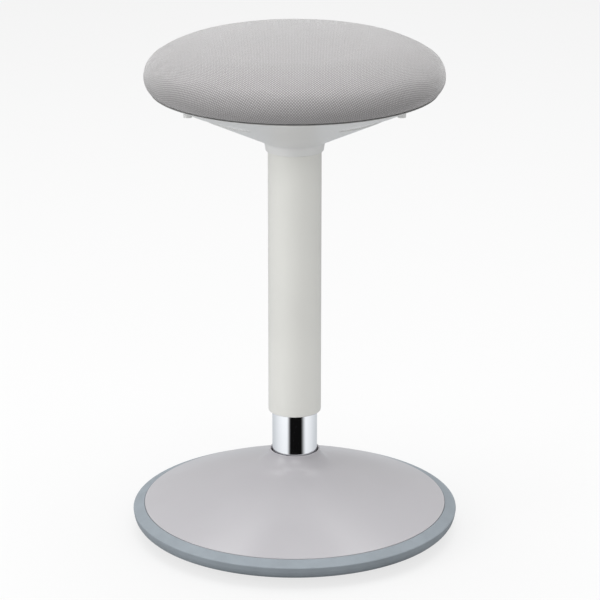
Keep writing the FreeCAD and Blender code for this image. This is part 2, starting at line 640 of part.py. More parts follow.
def housing_screw(x, y):
    head = rod(SCREW_HEAD_R, SCREW_SEAT_Z - 2.5, SCREW_SEAT_Z, x, y)
    slots = [block(x - 2.2, x + 2.2, y - 0.5, y + 0.5, 480, SCREW_SEAT_Z - 1.2)]
    slots.append(block(x - 0.5, x + 0.5, y - 2.2, y + 2.2, 480, SCREW_SEAT_Z - 1.2))
    return cut_all(head.fuse(rod(SCREW_R, SCREW_SEAT_Z - 0.5, BOARD_Z + 8, x, y)), slots)


# Seat board
def seat_board():
    z1 = BOARD_Z + BOARD_T
    o = Outline(0, BOARD_Z).line(BOARD_R, BOARD_Z).line(BOARD_R, z1 - 2)
    board = o.arc((BOARD_R - 0.6, z1 - 0.6), (BOARD_R - 2, z1)).line(0, z1).turned()
    holes = at_bolts(lambda x, y: rod(4.0, BOARD_Z - 1, z1 + 1, x, y))
    holes += at_housing_screws(lambda x, y: rod(SCREW_R, BOARD_Z - 1, BOARD_Z + 8, x, y))
    return cut_all(board, holes)


# Cushion: foam under one stretched fabric cover. Its profile is five arcs, each tangent to the next.
def crown_radii(turns):
    """Radii of the top's and the crown's arcs, so that the chain ends in the shoulder."""
    s1, s2 = math.sin(turns[0]), math.sin(turns[1])
    c1, c2 = math.cos(turns[0]), math.cos(turns[1])
    across = CUSHION_R - SHOULDER_R * (1 - s2)
    down = CUSHION_CROWN - SHOULDER_R * c2
    whole = s1 * (c1 - c2) - (s2 - s1) * (1 - c1)
    top = (across * (c1 - c2) - (s2 - s1) * down) / whole
    crown = (s1 * down - across * (1 - c1)) / whole
    return top, crown


def centre_of(touch, radius, angle):
    """Centre of an arc that runs through a point with the given normal angle."""
    return (touch[0] - radius * math.sin(angle), touch[1] - radius * math.cos(angle))


def cushion_arcs():
    """Centre, radius and end angle of each arc from the middle of the top to the foot."""
    turns = (math.radians(CROWN_TURN), math.radians(SHOULDER_TURN), math.pi / 2)
    fall = math.asin((CUSHION_Z - CUSHION_FOOT_Z - FOOT_ROUND_R) / (SIDE_ROUND_R - FOOT_ROUND_R))
    ends = turns + (math.pi / 2 + fall, math.pi)
    radii = crown_radii(turns) + (SHOULDER_R, SIDE_ROUND_R, FOOT_ROUND_R)
    touch = (0.0, CUSHION_Z + CUSHION_CROWN)
    start = 0.0
    arcs = []
    for radius, end in zip(radii, ends):
        centre = centre_of(touch, radius, start)
        arcs.append((centre, radius, start, end))
        touch = (centre[0] + radius * math.sin(end), centre[1] + radius * math.cos(end))
        start = end
    return arcs


CUSHION_ARCS = cushion_arcs()
CUSHION_FOOT_R = CUSHION_ARCS[-1][0][0]


def cushion_side(outline, inside):
    """From the foot up to the middle of the top."""
    for centre, radius, start, end in CUSHION_ARCS[::-1]:
        outline.round(centre, radius - inside, end, start)
    return outline


def fabric_cover():
    foot_z = CUSHION_FOOT_Z + FABRIC
    o = cushion_side(Outline(WRAP_R, CUSHION_FOOT_Z).line(CUSHION_FOOT_R, CUSHION_FOOT_Z), 0.0)
    o.line(0, CUSHION_Z + CUSHION_CROWN - FABRIC)
    for centre, radius, start, end in CUSHION_ARCS:
        o.round(centre, radius - FABRIC, start, end)
    o.line(WRAP_R, foot_z)
    holes = at_housing_screws(lambda x, y: rod(SCREW_R, CUSHION_FOOT_Z - 1, foot_z + 1, x, y))
    return cut_all(o.turned(), holes)


def foam_pad():
    inside = FABRIC + 0.1
    top = BOARD_Z + BOARD_T
    o = Outline(0, top).line(BOARD_R + 0.1, top).line(BOARD_R + 0.1, CUSHION_FOOT_Z + inside)
    o = cushion_side(o.line(CUSHION_FOOT_R, CUSHION_FOOT_Z + inside), inside)
    return cut_all(o.turned(), at_bolts(lambda x, y: rod(9.3, top - 1, top + 1.4, x, y)))


def staple():
    crown_z = CUSHION_FOOT_Z - STAPLE_WIRE
    x0 = STAPLE_R - STAPLE_WIRE / 2
    x1 = STAPLE_R + STAPLE_WIRE / 2
    half = STAPLE_W / 2
    crown = block(x0, x1, -half, half, crown_z, CUSHION_FOOT_Z)
    legs = [
        block(x0, x1, -half, -half + STAPLE_WIRE, crown_z, BOARD_Z + 5),
        block(x0, x1, half - STAPLE_WIRE, half, crown_z, BOARD_Z + 5),
    ]
    return crown.multiFuse(legs).removeSplitter()


# Release paddles
def paddle(side):
    """A curved paddle with its arm. The +X one has side 1 and is the slotted one at the middle."""
    spread = math.degrees(PADDLE_GAP / PADDLE_R1)
    plate = crescent(PADDLE_R0 + PADDLE_GAP, PADDLE_R1 - PADDLE_GAP, PADDLE_HALF_ANGLE - spread, 6.0)
    plate = plate.common(cone_band(PADDLE_INSET, PADDLE_INSET + PADDLE_T, 90, 140))
    top = ARM_Z + ARM_T
    end_r = PADDLE_R1 - PADDLE_GAP - 1.2
    o = Outline(-FINGER_TIP_X, ARM_Z).line(99, ARM_Z).line(110, cone_z(110) + PADDLE_INSET + PADDLE_T - 1)
    end_z = cone_z(end_r) + PADDLE_INSET + PADDLE_T
    o.line(end_r, end_z - 1).line(end_r, end_z)
    arm = o.line(112, top).line(-FINGER_TIP_X, top).pushed(-ARM_HALF_W, ARM_HALF_W)
    free_half = block(-FINGER_TIP_X - 1, 14, 0.4 - 20, 0.4, 480, 520)
    if side < 0:
        free_half = block(-FINGER_TIP_X - 1, 14, -0.4, 20, 480, 520)
    foot = Vector(PIVOT_X, -ARM_HALF_W, PIVOT_Z)
    boss = Part.makeCylinder(PIVOT_BOSS_R, 2 * ARM_HALF_W, foot, Vector(0, 1, 0))
    body = fuse_all(arm.cut(free_half), [plate, boss])
    bore = PIVOT_R + RUNNING_GAP
    body = body.cut(Part.makeCylinder(bore, 40, Vector(PIVOT_X, -20, PIVOT_Z), Vector(0, 1, 0)))
    pin_z = ARM_Z + ARM_T / 2
    if side > 0:
        high = LINK_PIN_R + 0.1
        far = LINK_SLOT_HALF - high
        slot = Outline(-far, pin_z - high).line(far, pin_z - high)
        slot.arc((LINK_SLOT_HALF, pin_z), (far, pin_z + high)).line(-far, pin_z + high)
        return body.cut(slot.arc((-LINK_SLOT_HALF, pin_z), (-far, pin_z - high)).pushed(-20, 20))
    body = body.cut(Part.makeCylinder(LINK_PIN_R, 40, Vector(0, -20, pin_z), Vector(0, 1, 0)))
    return mirrored(body)


def link_pin():
    half = ARM_HALF_W - 0.8
    return Part.makeCylinder(LINK_PIN_R, 2 * half, Vector(0, -half, ARM_Z + ARM_T / 2), Vector(0, 1, 0))


def paddle_pin(x):
    shaft = Part.makeCylinder(PIVOT_R, 46, Vector(x, -22.0, PIVOT_Z), Vector(0, 1, 0))
    head = Part.makeCylinder(4.0, 1.6, Vector(x, -23.6, PIVOT_Z), Vector(0, 1, 0))
    clip = Part.makeCylinder(4.2, 1.0, Vector(x, 22.2, PIVOT_Z), Vector(0, 1, 0))
    return shaft.multiFuse([head, clip]).removeSplitter()


# Base
save("rocker_sole", rocker_sole())
save("sole_pan", sole_pan())
save("counterweight", counterweight())
save("weight_screws", *around(weight_screw(), 6, 30.0))
save("column_hub", column_hub())
save("hub_bolts", *around(hub_bolt(), 4, 45.0))
save("base_cover", base_cover())
save("cover_screws", *around(cover_screw(), POST_COUNT))
save("neck_gasket", ring(TUBE_R + RUNNING_GAP, NECK_BORE_R, GASKET_Z0, GASKET_Z1))
save("outer_tube", outer_tube())
save("tube_end_plate", tube_end_plate())
save("guide_bush", guide_bush())
save("lower_race", ring(FOOT_HOLE_R, RACE_R, PLATE_TOP_Z, PLATE_TOP_Z + RACE_T))
save("foot_washer", ring(FOOT_HOLE_R, 9.0, TUBE_Z0 - 2.0, TUBE_Z0))

# Thrust bearing's rolling part
save("bearing_balls", *bearing_balls())
save("ball_cage", ball_cage())

# Rod
save("piston_rod", piston_rod())
save("rod_clip", rod_clip())
save("upper_race", ring(ROD_FOOT_R, RACE_R, RACE1_Z, SHOULDER_Z))
save("bump_stop", ring(ROD_R, 13.0, SHOULDER_Z, CYLINDER_Z0))
save("piston", piston())
save("piston_seal", piston_seal())
save("piston_nut", piston_nut())

# Seat
save("gas_cylinder", gas_cylinder())
save("rod_guide", ring(ROD_R + RUNNING_GAP, CYLINDER_BORE_R, CYLINDER_Z0, CYLINDER_Z0 + ROD_GUIDE_T))
save("valve_body", valve_body())
save("sleeve", sleeve())
save("sleeve_glide", sleeve_glide())
save("taper_socket", taper_socket())
save("seat_bracket", seat_bracket())
save("bracket_bolts", *at_bolts(bracket_bolt))
save("tee_nuts", *at_bolts(tee_nut))
save("seat_housing", seat_housing())
save("housing_screws", *at_housing_screws(housing_screw))
save("paddle_pins", paddle_pin(-PIVOT_X), paddle_pin(PIVOT_X))
save("seat_board", seat_board())
save("foam_pad", foam_pad())
save("fabric_cover", fabric_cover())
save("cover_staples", *around(staple(), STAPLE_COUNT, 15.0))

# Controls
save("left_paddle", paddle(-1))
save("link_pin", link_pin())
save("right_paddle", paddle(1))
save("valve_button", valve_button())
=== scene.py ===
"""Finish of a wobble stool: its cushion, the finishes of its parts, and a small studio around it."""

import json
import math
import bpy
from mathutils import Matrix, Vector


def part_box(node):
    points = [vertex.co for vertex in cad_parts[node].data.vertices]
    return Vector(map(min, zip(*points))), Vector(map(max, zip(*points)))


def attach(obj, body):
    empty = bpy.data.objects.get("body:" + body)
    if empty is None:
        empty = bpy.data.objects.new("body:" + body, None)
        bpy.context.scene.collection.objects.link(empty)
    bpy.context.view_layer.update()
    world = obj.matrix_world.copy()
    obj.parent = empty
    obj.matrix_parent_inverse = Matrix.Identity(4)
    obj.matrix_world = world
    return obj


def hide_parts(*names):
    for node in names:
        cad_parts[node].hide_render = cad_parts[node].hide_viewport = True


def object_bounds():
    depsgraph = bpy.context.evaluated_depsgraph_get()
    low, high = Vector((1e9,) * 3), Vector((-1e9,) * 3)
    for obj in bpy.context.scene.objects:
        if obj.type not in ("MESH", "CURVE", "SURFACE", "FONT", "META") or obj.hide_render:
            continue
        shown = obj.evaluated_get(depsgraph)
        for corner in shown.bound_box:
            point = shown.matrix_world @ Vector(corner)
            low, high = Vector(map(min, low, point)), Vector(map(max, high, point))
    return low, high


bl_info = {
    "name": "Wobble stool finish",
    "version": (1, 0, 0),
    "blender": (4, 5, 0),
    "location": "3D View > Sidebar > Stool",
    "description": "Upholsters the stool's cushion, finishes its other parts and lights it",
    "category": "Object",
}

import bmesh
import bpy
from mathutils import Vector, noise

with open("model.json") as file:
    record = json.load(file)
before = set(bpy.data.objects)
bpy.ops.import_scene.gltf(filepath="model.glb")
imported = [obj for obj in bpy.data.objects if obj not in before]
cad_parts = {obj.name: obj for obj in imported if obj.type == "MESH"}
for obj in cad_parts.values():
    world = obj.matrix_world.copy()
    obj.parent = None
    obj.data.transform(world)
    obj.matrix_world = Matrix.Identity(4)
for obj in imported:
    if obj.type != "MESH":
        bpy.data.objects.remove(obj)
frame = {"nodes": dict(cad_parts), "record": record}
CAD_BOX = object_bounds()

MM = 0.001
COVER_LOW, COVER_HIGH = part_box("fabric_cover")
BOARD_LOW, BOARD_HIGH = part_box("seat_board")


# Settings that a user would change


def colour_setting(name, description, default):
    return bpy.props.FloatVectorProperty(
        name=name, description=description, default=default, subtype="COLOR", min=0.0, max=1.0
    )


class CushionSettings(bpy.types.PropertyGroup):
    radius: bpy.props.FloatProperty(
        name="Radius",
        description="Radius of the cushion's widest circle",
        default=COVER_HIGH[0],
        unit="LENGTH",
        precision=4,
    )
    wide_height: bpy.props.FloatProperty(
        name="Height of the widest circle",
        description="Height of the widest circle above the fabric's underside",
        default=0.0139,
        unit="LENGTH",
        precision=4,
    )
    shoulder: bpy.props.FloatProperty(
        name="Shoulder radius",
        description="Roundness of the shoulder between the crown and the side",
        default=0.0258,
        unit="LENGTH",
        precision=4,
    )
    side_round: bpy.props.FloatProperty(
        name="Side radius",
        description="Roundness of the drawn-in lower side",
        default=0.0189,
        unit="LENGTH",
        precision=4,
    )
    foot_round: bpy.props.FloatProperty(
        name="Foot radius",
        description="Roundness of the turn in under the board",
        default=0.006,
        unit="LENGTH",
        precision=4,
    )
    wrap_radius: bpy.props.FloatProperty(
        name="Wrap radius",
        description="How far the fabric reaches in under the board",
        default=0.125,
        unit="LENGTH",
        precision=4,
    )
    swell: bpy.props.FloatProperty(
        name="Swell",
        description="How far the stuffing pushes the cover out",
        default=0.0005,
        unit="LENGTH",
        precision=4,
    )
    thread: bpy.props.FloatProperty(
        name="Thread spacing",
        description="Distance from one thread of the weave to the next",
        default=0.0016,
        unit="LENGTH",
        precision=5,
    )
    warp_colour: colour_setting(
        "Warp colour", "Colour of the threads that run front to back", (0.485, 0.472, 0.475)
    )
    weft_colour: colour_setting(
        "Weft colour", "Colour of the threads that run side to side", (0.262, 0.252, 0.252)
    )


class ShellSettings(bpy.types.PropertyGroup):
    housing: colour_setting("Housing", "Colour of the seat housing", (0.835, 0.838, 0.828))
    # Partly painted highlight: the paddles are much lighter than the housing, partly to show the light
    # caught at their pockets' edges
    paddles: colour_setting("Paddles", "Colour of the release paddles", (0.97, 0.97, 0.955))
    sleeve: colour_setting("Sleeve", "Colour of the sleeve round the column", (0.84, 0.84, 0.80))
    dome: colour_setting("Dome", "Colour of the base's cover", (0.478, 0.468, 0.49))
    rim: colour_setting("Rim", "Colour of the rubber sole and its rim", (0.29, 0.328, 0.362))
    grain: bpy.props.FloatProperty(
        name="Grain",
        description="Size of the moulded grain on the plastic parts",
        default=0.0006,
        unit="LENGTH",
        precision=5,
    )


class ColumnSettings(bpy.types.PropertyGroup):
    chrome: colour_setting("Chrome", "Colour of the chromed tube", (0.90, 0.91, 0.93))
    polish: bpy.props.FloatProperty(
        name="Chrome roughness",
        description="Roughness of the chromed tube",
        default=0.035,
        min=0.0,
        max=1.0,
    )


class StudioSettings(bpy.types.PropertyGroup):
    floor: colour_setting("Floor", "Colour of the floor as it is seen", (0.93, 0.93, 0.93))
    glow: bpy.props.FloatProperty(
        name="Floor glow",
        description="How far the floor's shadow is lightened",
        default=0.8,
        min=0.0,
        max=1.0,
    )
    bounce: bpy.props.FloatProperty(
        name="Floor bounce",
        description="Share of the light that the floor throws up",
        default=0.42,
        min=0.0,
        max=1.0,
    )
    sky: bpy.props.FloatProperty(
        name="Sky",
        description="Strength of the light all round",
        default=0.55,
        min=0.0,
    )
    top_power: bpy.props.FloatProperty(
        name="Top light",
        description="Power of the softbox overhead",
        default=80.0,
        min=0.0,
        unit="POWER",
    )
    side_power: bpy.props.FloatProperty(
        name="Side light",
        description="Power of the softbox on the left",
        default=26.0,
        min=0.0,
        unit="POWER",
    )
    front_power: bpy.props.FloatProperty(
        name="Front light",
        description="Power of the softbox by the camera",
        default=27.0,
        min=0.0,
        unit="POWER",
    )
    lens: bpy.props.FloatProperty(
        name="Focal length",
        description="Focal length of the camera",
        default=169.03,
        min=1.0,
        unit="CAMERA",
    )


# Material nodes


# Sockets of the Mix node in colour mode
MIX_FACTOR = 0
MIX_FIRST = 6
MIX_SECOND = 7
MIX_COLOUR = 2


class Wire:
    """One output of a material's node. Adding or multiplying wires adds the Math nodes for it."""

    def __init__(self, finish, socket):
        self.finish = finish
        self.socket = socket

    def __add__(self, other):
        return self.finish.maths("ADD", self, other)

    def __mul__(self, other):
        return self.finish.maths("MULTIPLY", self, other)


class Finish:
    """A material that is being put together from nodes."""

    def __init__(self, name):
        self.material = bpy.data.materials.new(name)
        self.material.use_nodes = True
        self.tree = self.material.node_tree
        self.tree.nodes.clear()

    def node(self, kind, settings=None, inputs=None, output=0):
        """Adds a node: its settings come first, then the values or wires of its sockets."""
        made = self.tree.nodes.new(kind)
        for key, value in (settings or {}).items():
            setattr(made, key, value)
        for key, value in (inputs or {}).items():
            if isinstance(value, Wire):
                self.tree.links.new(value.socket, made.inputs[key])
            else:
                made.inputs[key].default_value = value
        return Wire(self, made.outputs[output]) if made.outputs else None

    def maths(self, operation, *values):
        return self.node("ShaderNodeMath", {"operation": operation}, dict(enumerate(values)))

    def place(self):
        """The point on the piece, in metres."""
        return self.node("ShaderNodeTexCoord", output="Object")

    def stretched(self, place, scale):
        """A place scaled along each axis, so that what is drawn on it comes out longer or shorter."""
        return self.node("ShaderNodeMapping", inputs={"Vector": place, "Scale": scale})

    def axes(self, vector):
        """The three coordinates of a vector."""
        split = self.node("ShaderNodeSeparateXYZ", inputs={"Vector": vector}).socket.node
        return [Wire(self, out) for out in split.outputs]

    def clouds(self, place, size, detail=2.0, roughness=0.5):
        """Noise whose features are about size metres across, from 0 to 1."""
        inputs = {"Vector": place, "Scale": 1.0 / size, "Detail": detail, "Roughness": roughness}
        return self.node("ShaderNodeTexNoise", inputs=inputs)

    def ranged(self, value, low, high, to_low, to_high):
        """A value taken smoothly from one range to another, and held at its ends."""
        inputs = {"Value": value, "From Min": low, "From Max": high, "To Min": to_low, "To Max": to_high}
        return self.node("ShaderNodeMapRange", {"interpolation_type": "SMOOTHSTEP"}, inputs)

    def mixed(self, factor, first, second):
        """A colour between two colours."""
        inputs = {MIX_FACTOR: factor, MIX_FIRST: first, MIX_SECOND: second}
        return self.node("ShaderNodeMix", {"data_type": "RGBA"}, inputs, MIX_COLOUR)

    def relief(self, height, depth, strength):
        """Bumps of a given depth in metres."""
        inputs = {"Height": height, "Distance": depth, "Strength": strength}
        return self.node("ShaderNodeBump", inputs=inputs)

    def shaded(self, **inputs):
        """Ends the material with one surface shader."""
        named = {key.replace("_", " "): value for key, value in inputs.items()}
        surface = self.node("ShaderNodeBsdfPrincipled", inputs=named)
        self.node("ShaderNodeOutputMaterial", inputs={"Surface": surface})
        return self.material


def rgba(colour, share=1.0):
    """A colour, lightened or darkened by a share, as a socket takes it."""
    return (colour[0] * share, colour[1] * share, colour[2] * share, 1.0)


# Finishes


HEATHER = (0.45, 0.45, 0.47)
# Near-black of the painted shade in the gaps between the threads
THREAD_GAP_SHADE = (0.09, 0.085, 0.08)
WEAVE_DEPTH = 0.3 * MM
FIBRE_SHARE = 0.35


def woven_fabric(settings):
    """Plain weave of two greys, drawn along the cloth as it was cut, before it was stretched."""
    f = Finish("woven_fabric")
    cloth = f.node("ShaderNodeUVMap", {"uv_map": "cloth"})
    across, along, _ = f.axes(cloth)
    turns = math.pi / settings.thread
    # Threads wander a little
    drift = f.clouds(cloth, 0.006, 2.0) * 0.5
    u = across * turns + drift
    v = along * turns + drift
    warp = f.maths("SINE", u)
    weft = f.maths("SINE", v)
    over = f.maths("SIGN", warp * weft) * 0.5 + 0.5
    warp_round = f.maths("ABSOLUTE", warp)
    weft_round = f.maths("ABSOLUTE", weft)
    height = f.maths("SQRT", warp_round * weft_round)
    fibres = f.clouds(f.stretched(cloth, (1.0, 0.25, 1.0)), 0.0004, 2.0)
    heather = f.clouds(cloth, 0.0022, 3.0, 0.6)
    tone = f.mixed(over, rgba(settings.weft_colour), rgba(settings.warp_colour))
    tone = f.mixed(f.ranged(heather, 0.35, 0.65, 0.0, 0.25), tone, rgba(HEATHER))
    # Painted shade: the gaps between the threads darken towards near-black
    gap_shade = f.ranged(height, 0.05, 0.6, 0.7, 0.0)
    tone = f.mixed(gap_shade, tone, rgba(THREAD_GAP_SHADE))
    normal = f.relief(height + fibres * FIBRE_SHARE, WEAVE_DEPTH, 0.8)
    return f.shaded(
        Base_Color=tone,
        Roughness=f.ranged(heather, 0.2, 0.8, 0.78, 0.92),
        Normal=normal,
        Sheen_Weight=1.0,
        Sheen_Roughness=0.3,
        Specular_IOR_Level=0.25,
    )


def moulded_plastic(name, colour, roughness, grain, grain_depth=0.00001, coat=0.0):
    """Injection-moulded plastic: an even colour with a faint flow, and a fine grain from the tool."""
    f = Finish(name)
    place = f.place()
    flow = f.clouds(place, 0.09, 2.0, 0.4)
    specks = f.clouds(place, 0.0011, 2.0, 0.6)
    tone = f.mixed(f.ranged(flow, 0.3, 0.7, 0.0, 1.0), rgba(colour, 0.975), rgba(colour, 1.015))
    tone = f.mixed(f.ranged(specks, 0.62, 0.8, 0.0, 0.12), tone, rgba(colour, 0.8))
    tool = f.clouds(place, grain, 3.0, 0.6)
    rough = f.ranged(flow, 0.2, 0.8, roughness - 0.03, roughness + 0.03) + tool * 0.05
    return f.shaded(
        Base_Color=tone,
        Roughness=rough,
        Normal=f.relief(tool, grain_depth, 0.6),
        Coat_Weight=coat,
        Coat_Roughness=0.18,
        Specular_IOR_Level=0.5,
    )


def rubber(name, colour, roughness=0.62):
    """Dull rubber with a chalky bloom and tiny pits."""
    f = Finish(name)
    place = f.place()
    bloom = f.clouds(place, 0.03, 3.0, 0.6)
    pits = f.clouds(place, 0.0009, 3.0, 0.7)
    tone = f.mixed(f.ranged(bloom, 0.3, 0.7, 0.0, 1.0), rgba(colour, 0.94), rgba(colour, 1.05))
    tone = f.mixed(f.ranged(pits, 0.6, 0.8, 0.0, 0.25), tone, rgba(colour, 0.7))
    return f.shaded(
        Base_Color=tone,
        Roughness=f.ranged(bloom, 0.2, 0.8, roughness - 0.05, roughness + 0.08),
        Normal=f.relief(pits, 0.00003, 0.5),
        Specular_IOR_Level=0.45,
    )


def chromed_steel(settings):
    """Bright chrome with the faintest smears and the fine lines of polishing."""
    f = Finish("chromed_steel")
    place = f.place()
    smears = f.clouds(f.stretched(place, (1.0, 1.0, 0.35)), 0.02, 3.0, 0.6)
    lines = f.clouds(f.stretched(place, (1.0, 1.0, 14.0)), 0.004, 2.0)
    return f.shaded(
        Base_Color=f.mixed(smears, rgba(settings.chrome), rgba(settings.chrome, 0.97)),
        Metallic=1.0,
        Roughness=f.ranged(smears, 0.35, 0.8, settings.polish, settings.polish + 0.03),
        Normal=f.relief(lines, 0.000002, 0.3),
    )


def zinc_plated_steel():
    """Plated fastener steel: grey, faintly streaked and mottled."""
    f = Finish("zinc_plated_steel")
    place = f.place()
    mottle = f.clouds(place, 0.004, 3.0, 0.6)
    streaks = f.clouds(f.stretched(place, (1.0, 1.0, 8.0)), 0.003, 2.0)
    return f.shaded(
        Base_Color=f.mixed(mottle, rgba((0.50, 0.51, 0.52)), rgba((0.66, 0.66, 0.64))),
        Metallic=1.0,
        Roughness=f.ranged(mottle, 0.2, 0.8, 0.28, 0.42),
        Normal=f.relief(streaks, 0.00002, 0.4),
    )


def painted_steel():
    """Black powder coat with its orange-peel texture."""
    f = Finish("painted_steel")
    place = f.place()
    peel = f.clouds(place, 0.0015, 2.0, 0.5)
    dust = f.clouds(place, 0.02, 3.0, 0.6)
    return f.shaded(
        Base_Color=f.mixed(dust, rgba((0.022, 0.022, 0.024)), rgba((0.040, 0.040, 0.042))),
        Roughness=f.ranged(dust, 0.2, 0.8, 0.38, 0.5),
        Normal=f.relief(peel, 0.00005, 0.5),
    )


def cast_iron():
    """Sand-cast iron under thin black paint."""
    f = Finish("cast_iron")
    place = f.place()
    sand = f.clouds(place, 0.0016, 4.0, 0.7)
    scale = f.clouds(place, 0.025, 3.0, 0.6)
    return f.shaded(
        Base_Color=f.mixed(scale, rgba((0.055, 0.053, 0.052)), rgba((0.10, 0.095, 0.09))),
        Metallic=f.ranged(scale, 0.5, 0.8, 0.1, 0.4),
        Roughness=f.ranged(scale, 0.2, 0.8, 0.65, 0.85),
        Normal=f.relief(sand, 0.0003, 0.7),
    )


PLY_THICKNESS = 1.45 * MM


def plywood():
    """Birch plywood: long grain on the faces, and its plies stacked on the edge."""
    f = Finish("plywood")
    place = f.place()
    grain = f.clouds(f.stretched(place, (6.0, 60.0, 6.0)), 1.0, 4.0, 0.6)
    _, _, height = f.axes(place)
    plies = f.maths("SINE", height * (math.pi / PLY_THICKNESS))
    layer = f.ranged(plies, -0.3, 0.3, 0.0, 1.0)
    facing = f.axes(f.node("ShaderNodeNewGeometry", output="Normal"))[2]
    flat = f.ranged(f.maths("ABSOLUTE", facing), 0.5, 0.9, 0.0, 1.0)
    face = f.mixed(grain, rgba((0.60, 0.42, 0.24)), rgba((0.78, 0.62, 0.42)))
    edge = f.mixed(layer, rgba((0.42, 0.27, 0.14)), rgba((0.74, 0.57, 0.37)))
    return f.shaded(
        Base_Color=f.mixed(flat, edge, face),
        Roughness=f.ranged(grain, 0.2, 0.8, 0.55, 0.7),
        Normal=f.relief(grain, 0.0001, 0.4),
    )


# Colours and grain of the pieces that the settings leave out
BUTTON_RED = (0.27, 0.02, 0.015)
BEARING_WHITE = (0.60, 0.60, 0.57)
RUBBER_BLACK = (0.018, 0.018, 0.02)
PLASTIC_BLACK = (0.022, 0.022, 0.024)
DOME_GRAIN_DEPTH = 0.000012
INNER_GRAIN_DEPTH = 0.00002


# Helpers for pieces


def dress_piece(name, material):
    part = frame["nodes"][name]
    part.data.materials.clear()
    part.data.materials.append(material)


def dress(slot, material):
    """Gives a finish to every part that has the named material slot."""
    for entry in frame["record"]["subparts"]:
        if entry["material_slot"] == slot:
            dress_piece(entry["node"], material)


def piece_from(name, bm, material):
    """An object of its own from a bmesh, in the scene."""
    mesh = bpy.data.meshes.new(name)
    bm.to_mesh(mesh)
    bm.free()
    mesh.materials.append(material)
    piece = bpy.data.objects.new(name, mesh)
    bpy.context.scene.collection.objects.link(piece)
    return piece


# Cushion


# Where the arc over the middle of the top ends, and where the crown's arc does
CROWN_TURN = math.radians(8.7)
SHOULDER_TURN = math.radians(30.6)
# Steps along the top, the crown, the shoulder, the side and the foot
ARC_STEPS = (8, 12, 14, 6, 5)
ROUND_STEPS = 144
BOARD_ROOM = 0.1 * MM
BOARD_TOP_ROOM = 0.05 * MM
# The foot's last rings, held still together with the wrap under the board
HELD_RINGS = 2
SAME = 1e-6
SWELL_FRAMES = 14
SWELL_PRESSURE = 4.0
LUMP_DEPTH = 0.2 * MM
BROAD_LUMPS = 22.0
FINE_LUMPS = 55.0


def crown_radii(across, down):
    """Radii of the top's and the crown's arcs, so that together they span a width and a drop."""
    s1, s2 = math.sin(CROWN_TURN), math.sin(SHOULDER_TURN)
    c1, c2 = math.cos(CROWN_TURN), math.cos(SHOULDER_TURN)
    whole = s1 * (c1 - c2) - (s2 - s1) * (1 - c1)
    top = (across * (c1 - c2) - (s2 - s1) * down) / whole
    return top, (s1 * down - across * (1 - c1)) / whole


def crown_profile(settings, drawn_in):
    """Radius and height from the middle of the top down to the foot, drawn in by a given depth."""
    wide_z = COVER_LOW[2] + settings.wide_height
    crown = COVER_HIGH[2] - wide_z
    drop = settings.wide_height - settings.foot_round
    fall = math.asin(drop / (settings.side_round - settings.foot_round))
    across = settings.radius - settings.shoulder * (1 - math.sin(SHOULDER_TURN))
    down = crown - settings.shoulder * math.cos(SHOULDER_TURN)
    radii = crown_radii(across, down) + (settings.shoulder, settings.side_round, settings.foot_round)
    ends = (CROWN_TURN, SHOULDER_TURN, math.pi / 2, math.pi / 2 + fall, math.pi)
    touch = (0.0, COVER_HIGH[2])
    start = 0.0
    profile = [(0.0, COVER_HIGH[2] - drawn_in)]
    for radius, end, steps in zip(radii, ends, ARC_STEPS):
        centre = (touch[0] - radius * math.sin(start), touch[1] - radius * math.cos(start))
        for i in range(1, steps + 1):
            t = start + (end - start) * i / steps
            inner = radius - drawn_in
            profile.append((centre[0] + inner * math.sin(t), centre[1] + inner * math.cos(t)))
        touch = (centre[0] + radius * math.sin(end), centre[1] + radius * math.cos(end))
        start = end
    return profile


def wrap_profile(settings, foot):
    """The fabric's turn under the board, and the pocket that the board sits in."""
    board_r = BOARD_HIGH[0] + BOARD_ROOM
    under_z = BOARD_LOW[2] - BOARD_ROOM
    over_z = BOARD_HIGH[2] + BOARD_TOP_ROOM
    low_z = COVER_LOW[2]
    return [
        ((foot[0] + settings.wrap_radius) / 2, low_z),
        (settings.wrap_radius, low_z),
        (settings.wrap_radius, under_z),
        ((board_r + settings.wrap_radius) / 2, under_z),
        (board_r, under_z),
        (board_r, over_z),
        (board_r / 2, over_z),
        (0.0, over_z),
    ]


def turned_cushion(settings, material):
    """The cushion's closed surface, with its flat cloth coordinates on each face."""
    crown = crown_profile(settings, settings.swell)
    profile = crown + wrap_profile(settings, crown[-1])
    bm = bmesh.new()
    reach = bm.verts.layers.float.new("reach")
    held = bm.verts.layers.float.new("held")
    crease = bm.edges.layers.float.new("crease_edge")
    line = []
    far = 0.0
    for i, (r, z) in enumerate(profile):
        vert = bm.verts.new((r, 0.0, z))
        if line:
            far += (vert.co - line[-1].co).length
        vert[reach] = far
        vert[held] = 0.0 if i < len(crown) - HELD_RINGS else 1.0
        line.append(vert)
    edges = [bm.edges.new(pair) for pair in zip(line, line[1:])]
    bmesh.ops.spin(
        bm,
        geom=line + edges,
        cent=(0, 0, 0),
        axis=(0, 0, 1),
        angle=2 * math.pi,
        steps=ROUND_STEPS,
        use_merge=True,
    )
    bmesh.ops.remove_doubles(bm, verts=bm.verts, dist=SAME)
    bmesh.ops.recalc_face_normals(bm, faces=bm.faces)
    foot_reach = sum(math.dist(a, b) for a, b in zip(crown, crown[1:])) + SAME
    for edge in bm.edges:
        a, b = edge.verts
        in_ring = abs(a[reach] - b[reach]) < SAME
        edge[crease] = 1.0 if in_ring and a[reach] > foot_reach else 0.0
    cloth = bm.loops.layers.uv.new("cloth")
    for face in bm.faces:
        face.smooth = True
        for loop in face.loops:
            flat = loop.vert.co.xy
            length = flat.length
            way = flat / length if length > 1e-9 else Vector((0.0, 0.0))
            loop[cloth].uv = way * loop.vert[reach]
    return piece_from("cushion", bm, material)


